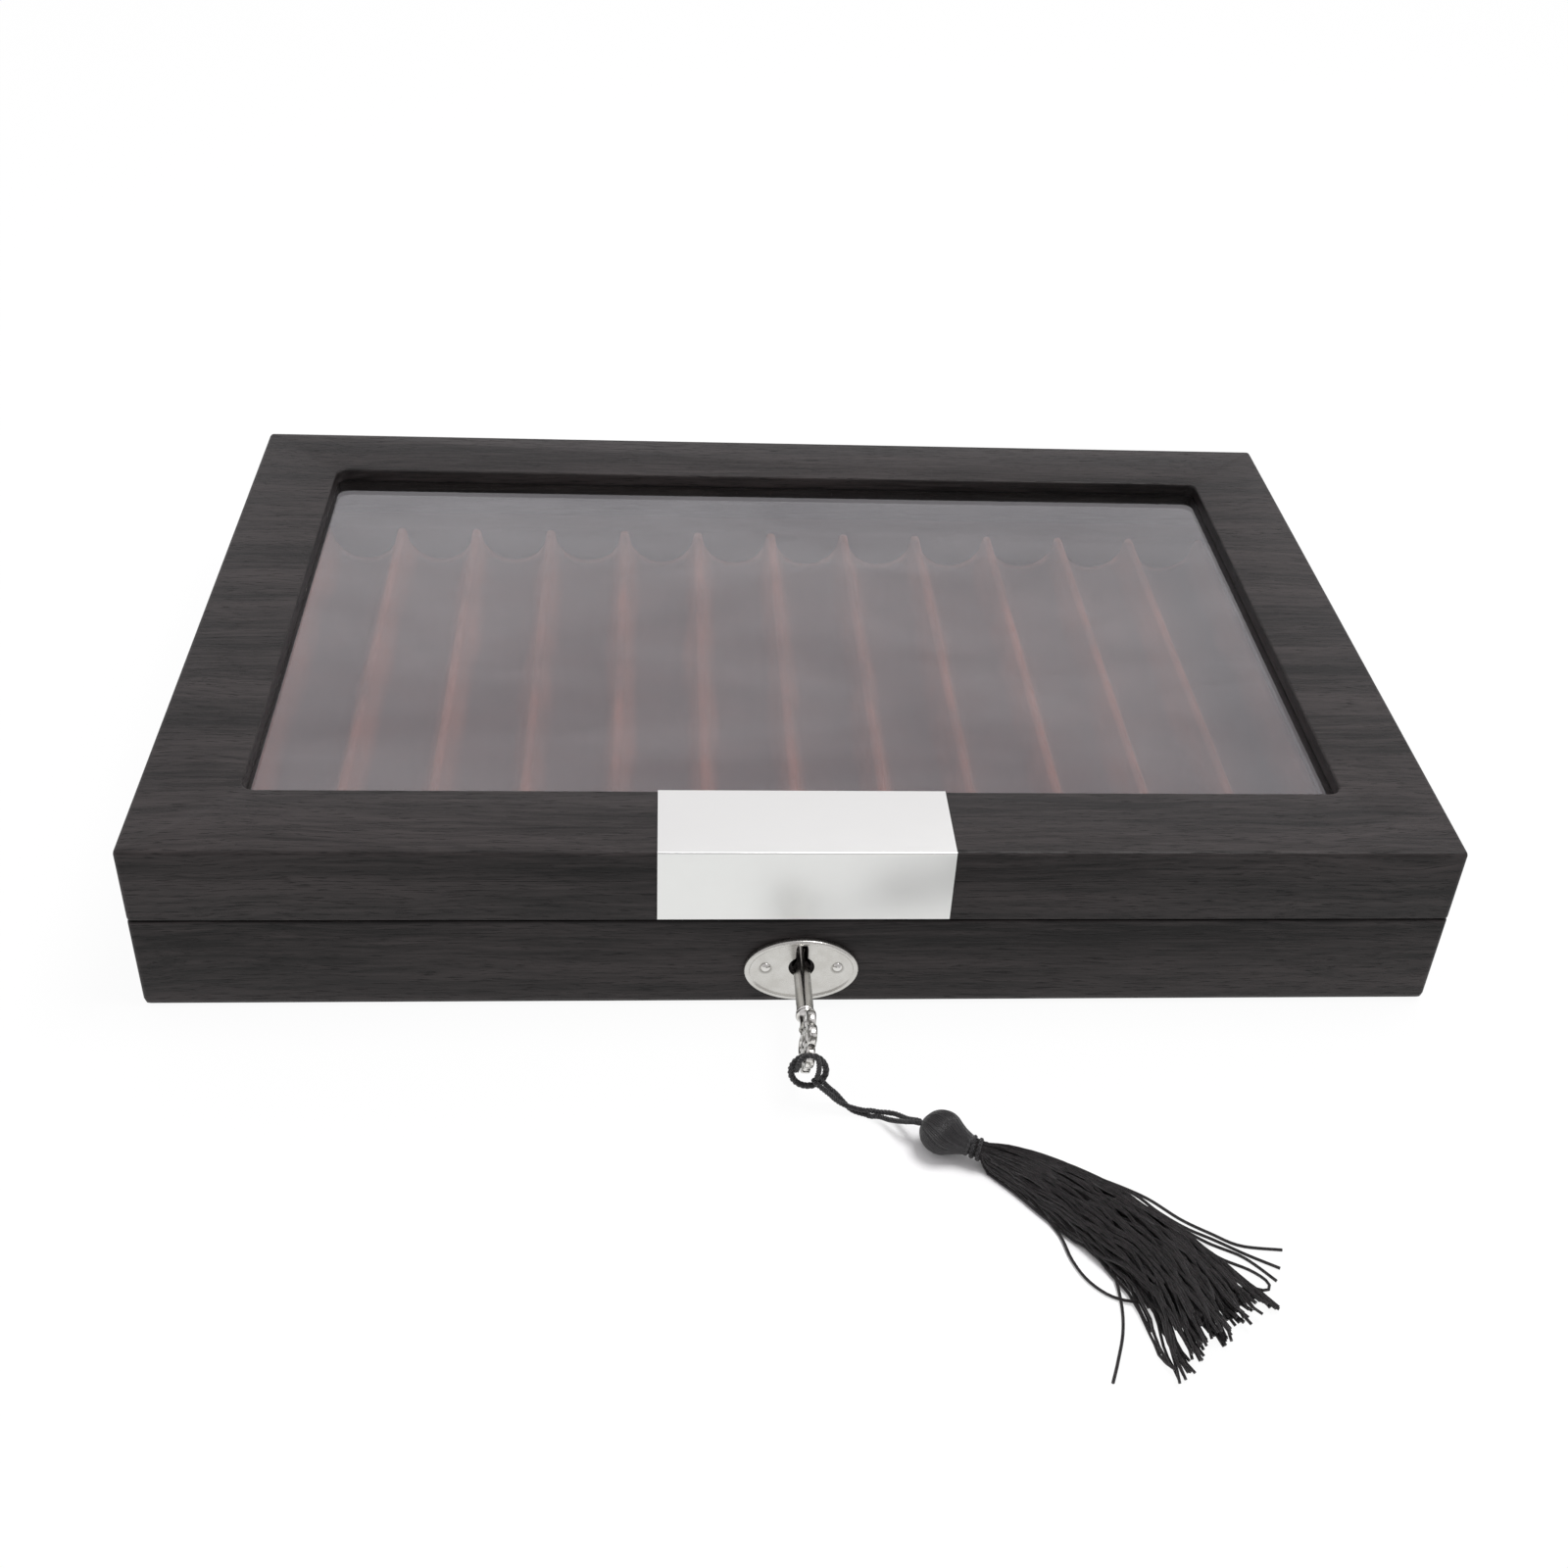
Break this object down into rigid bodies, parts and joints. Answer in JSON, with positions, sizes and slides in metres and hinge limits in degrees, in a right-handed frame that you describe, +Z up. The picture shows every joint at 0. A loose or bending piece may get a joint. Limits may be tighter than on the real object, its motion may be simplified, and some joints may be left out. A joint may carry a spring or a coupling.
{
  "type": "pen display case",
  "caption": "Shallow wooden case with a hinged glass lid, grooved tray for pens, bent metal nameplate, box lock, and a key with a tassel.",
  "frame": {"origin": "centre of the flat underside that the case stands on", "axes": "+Z up through the lid, -Y towards the lock and nameplate, +X to the right along the long side as seen from the lock"},
  "size_m": [0.34, 0.3513, 0.0519],
  "materials": {
    "veneer": "open-grain veneer, black satin lacquer",
    "lining": "reddish-brown suede, matt",
    "felt": "black felt",
    "board": "bare fibreboard",
    "glass": "clear float glass",
    "satin_steel": "satin",
    "bright_nickel": "bright nickel plate",
    "thread": "black rayon thread, slight sheen"
  },
  "bodies": {
    "base": {"base_front_wall": "veneer", "base_back_wall": "veneer", "base_left_wall": "veneer", "base_right_wall": "veneer", "pen_tray": "lining", "tray_front_bar": "lining", "tray_back_bar": "lining", "tray_left_bar": "lining", "tray_right_bar": "lining", "base_felt": "felt", "base_panel": "board", "lock_case": "satin_steel", "lock_back_plate": "satin_steel", "lock_escutcheon": "bright_nickel", "lock_pin_left": "bright_nickel", "lock_pin_right": "bright_nickel", "lock_screw_left": "bright_nickel", "lock_screw_right": "bright_nickel", "hinge_left_base_leaf": "bright_nickel", "hinge_left_pin": "bright_nickel", "hinge_left_base_screw_left": "bright_nickel", "hinge_left_base_screw_right": "bright_nickel", "hinge_right_base_leaf": "bright_nickel", "hinge_right_pin": "bright_nickel", "hinge_right_base_screw_left": "bright_nickel", "hinge_right_base_screw_right": "bright_nickel"},
    "lid": {"lid_top_frame": "veneer", "lid_front_wall": "veneer", "lid_back_wall": "veneer", "lid_left_wall": "veneer", "lid_right_wall": "veneer", "glass_bead_front": "veneer", "glass_bead_back": "veneer", "glass_bead_left": "veneer", "glass_bead_right": "veneer", "glass_pane": "glass", "strike_plate": "satin_steel", "nameplate": "satin_steel", "strike_screw_left": "bright_nickel", "strike_screw_right": "bright_nickel", "hinge_left_lid_leaf": "bright_nickel", "hinge_left_lid_screw_left": "bright_nickel", "hinge_left_lid_screw_right": "bright_nickel", "hinge_right_lid_leaf": "bright_nickel", "hinge_right_lid_screw_left": "bright_nickel", "hinge_right_lid_screw_right": "bright_nickel"},
    "lock_bolt": {"lock_bolt": "satin_steel"},
    "tassel": {"tassel_cord": "thread", "tassel_head": "thread", "tassel_neck": "thread", "tassel_skirt": "thread"},
    "key": {"key": "bright_nickel", "key_cord_ring": "thread"}
  },
  "joints": [
    {"name": "lid_hinge", "type": "hinge", "parent": "base", "child": "lid", "pos_m": [0, 0.1165, 0.02915], "axis": [-1, 0, 0], "range_deg": [0, 96]},
    {"name": "key_pull", "type": "slide", "parent": "base", "child": "tassel", "axis": [0, -1, 0], "range_m": [0, 0.015]},
    {"name": "key_turn", "type": "hinge", "parent": "tassel", "child": "key", "pos_m": [-0.0006, -0.114, 0.0144], "axis": [0, 1, 0], "range_deg": [0, 90]},
    {"name": "bolt_slide", "type": "slide", "parent": "base", "child": "lock_bolt", "axis": [1, 0, 0], "range_m": [0, 0.005]}
  ],
  "couplings": [
    {"joint": "key_turn", "follows": "bolt_slide", "rad_per_m": 314.15}
  ]
}
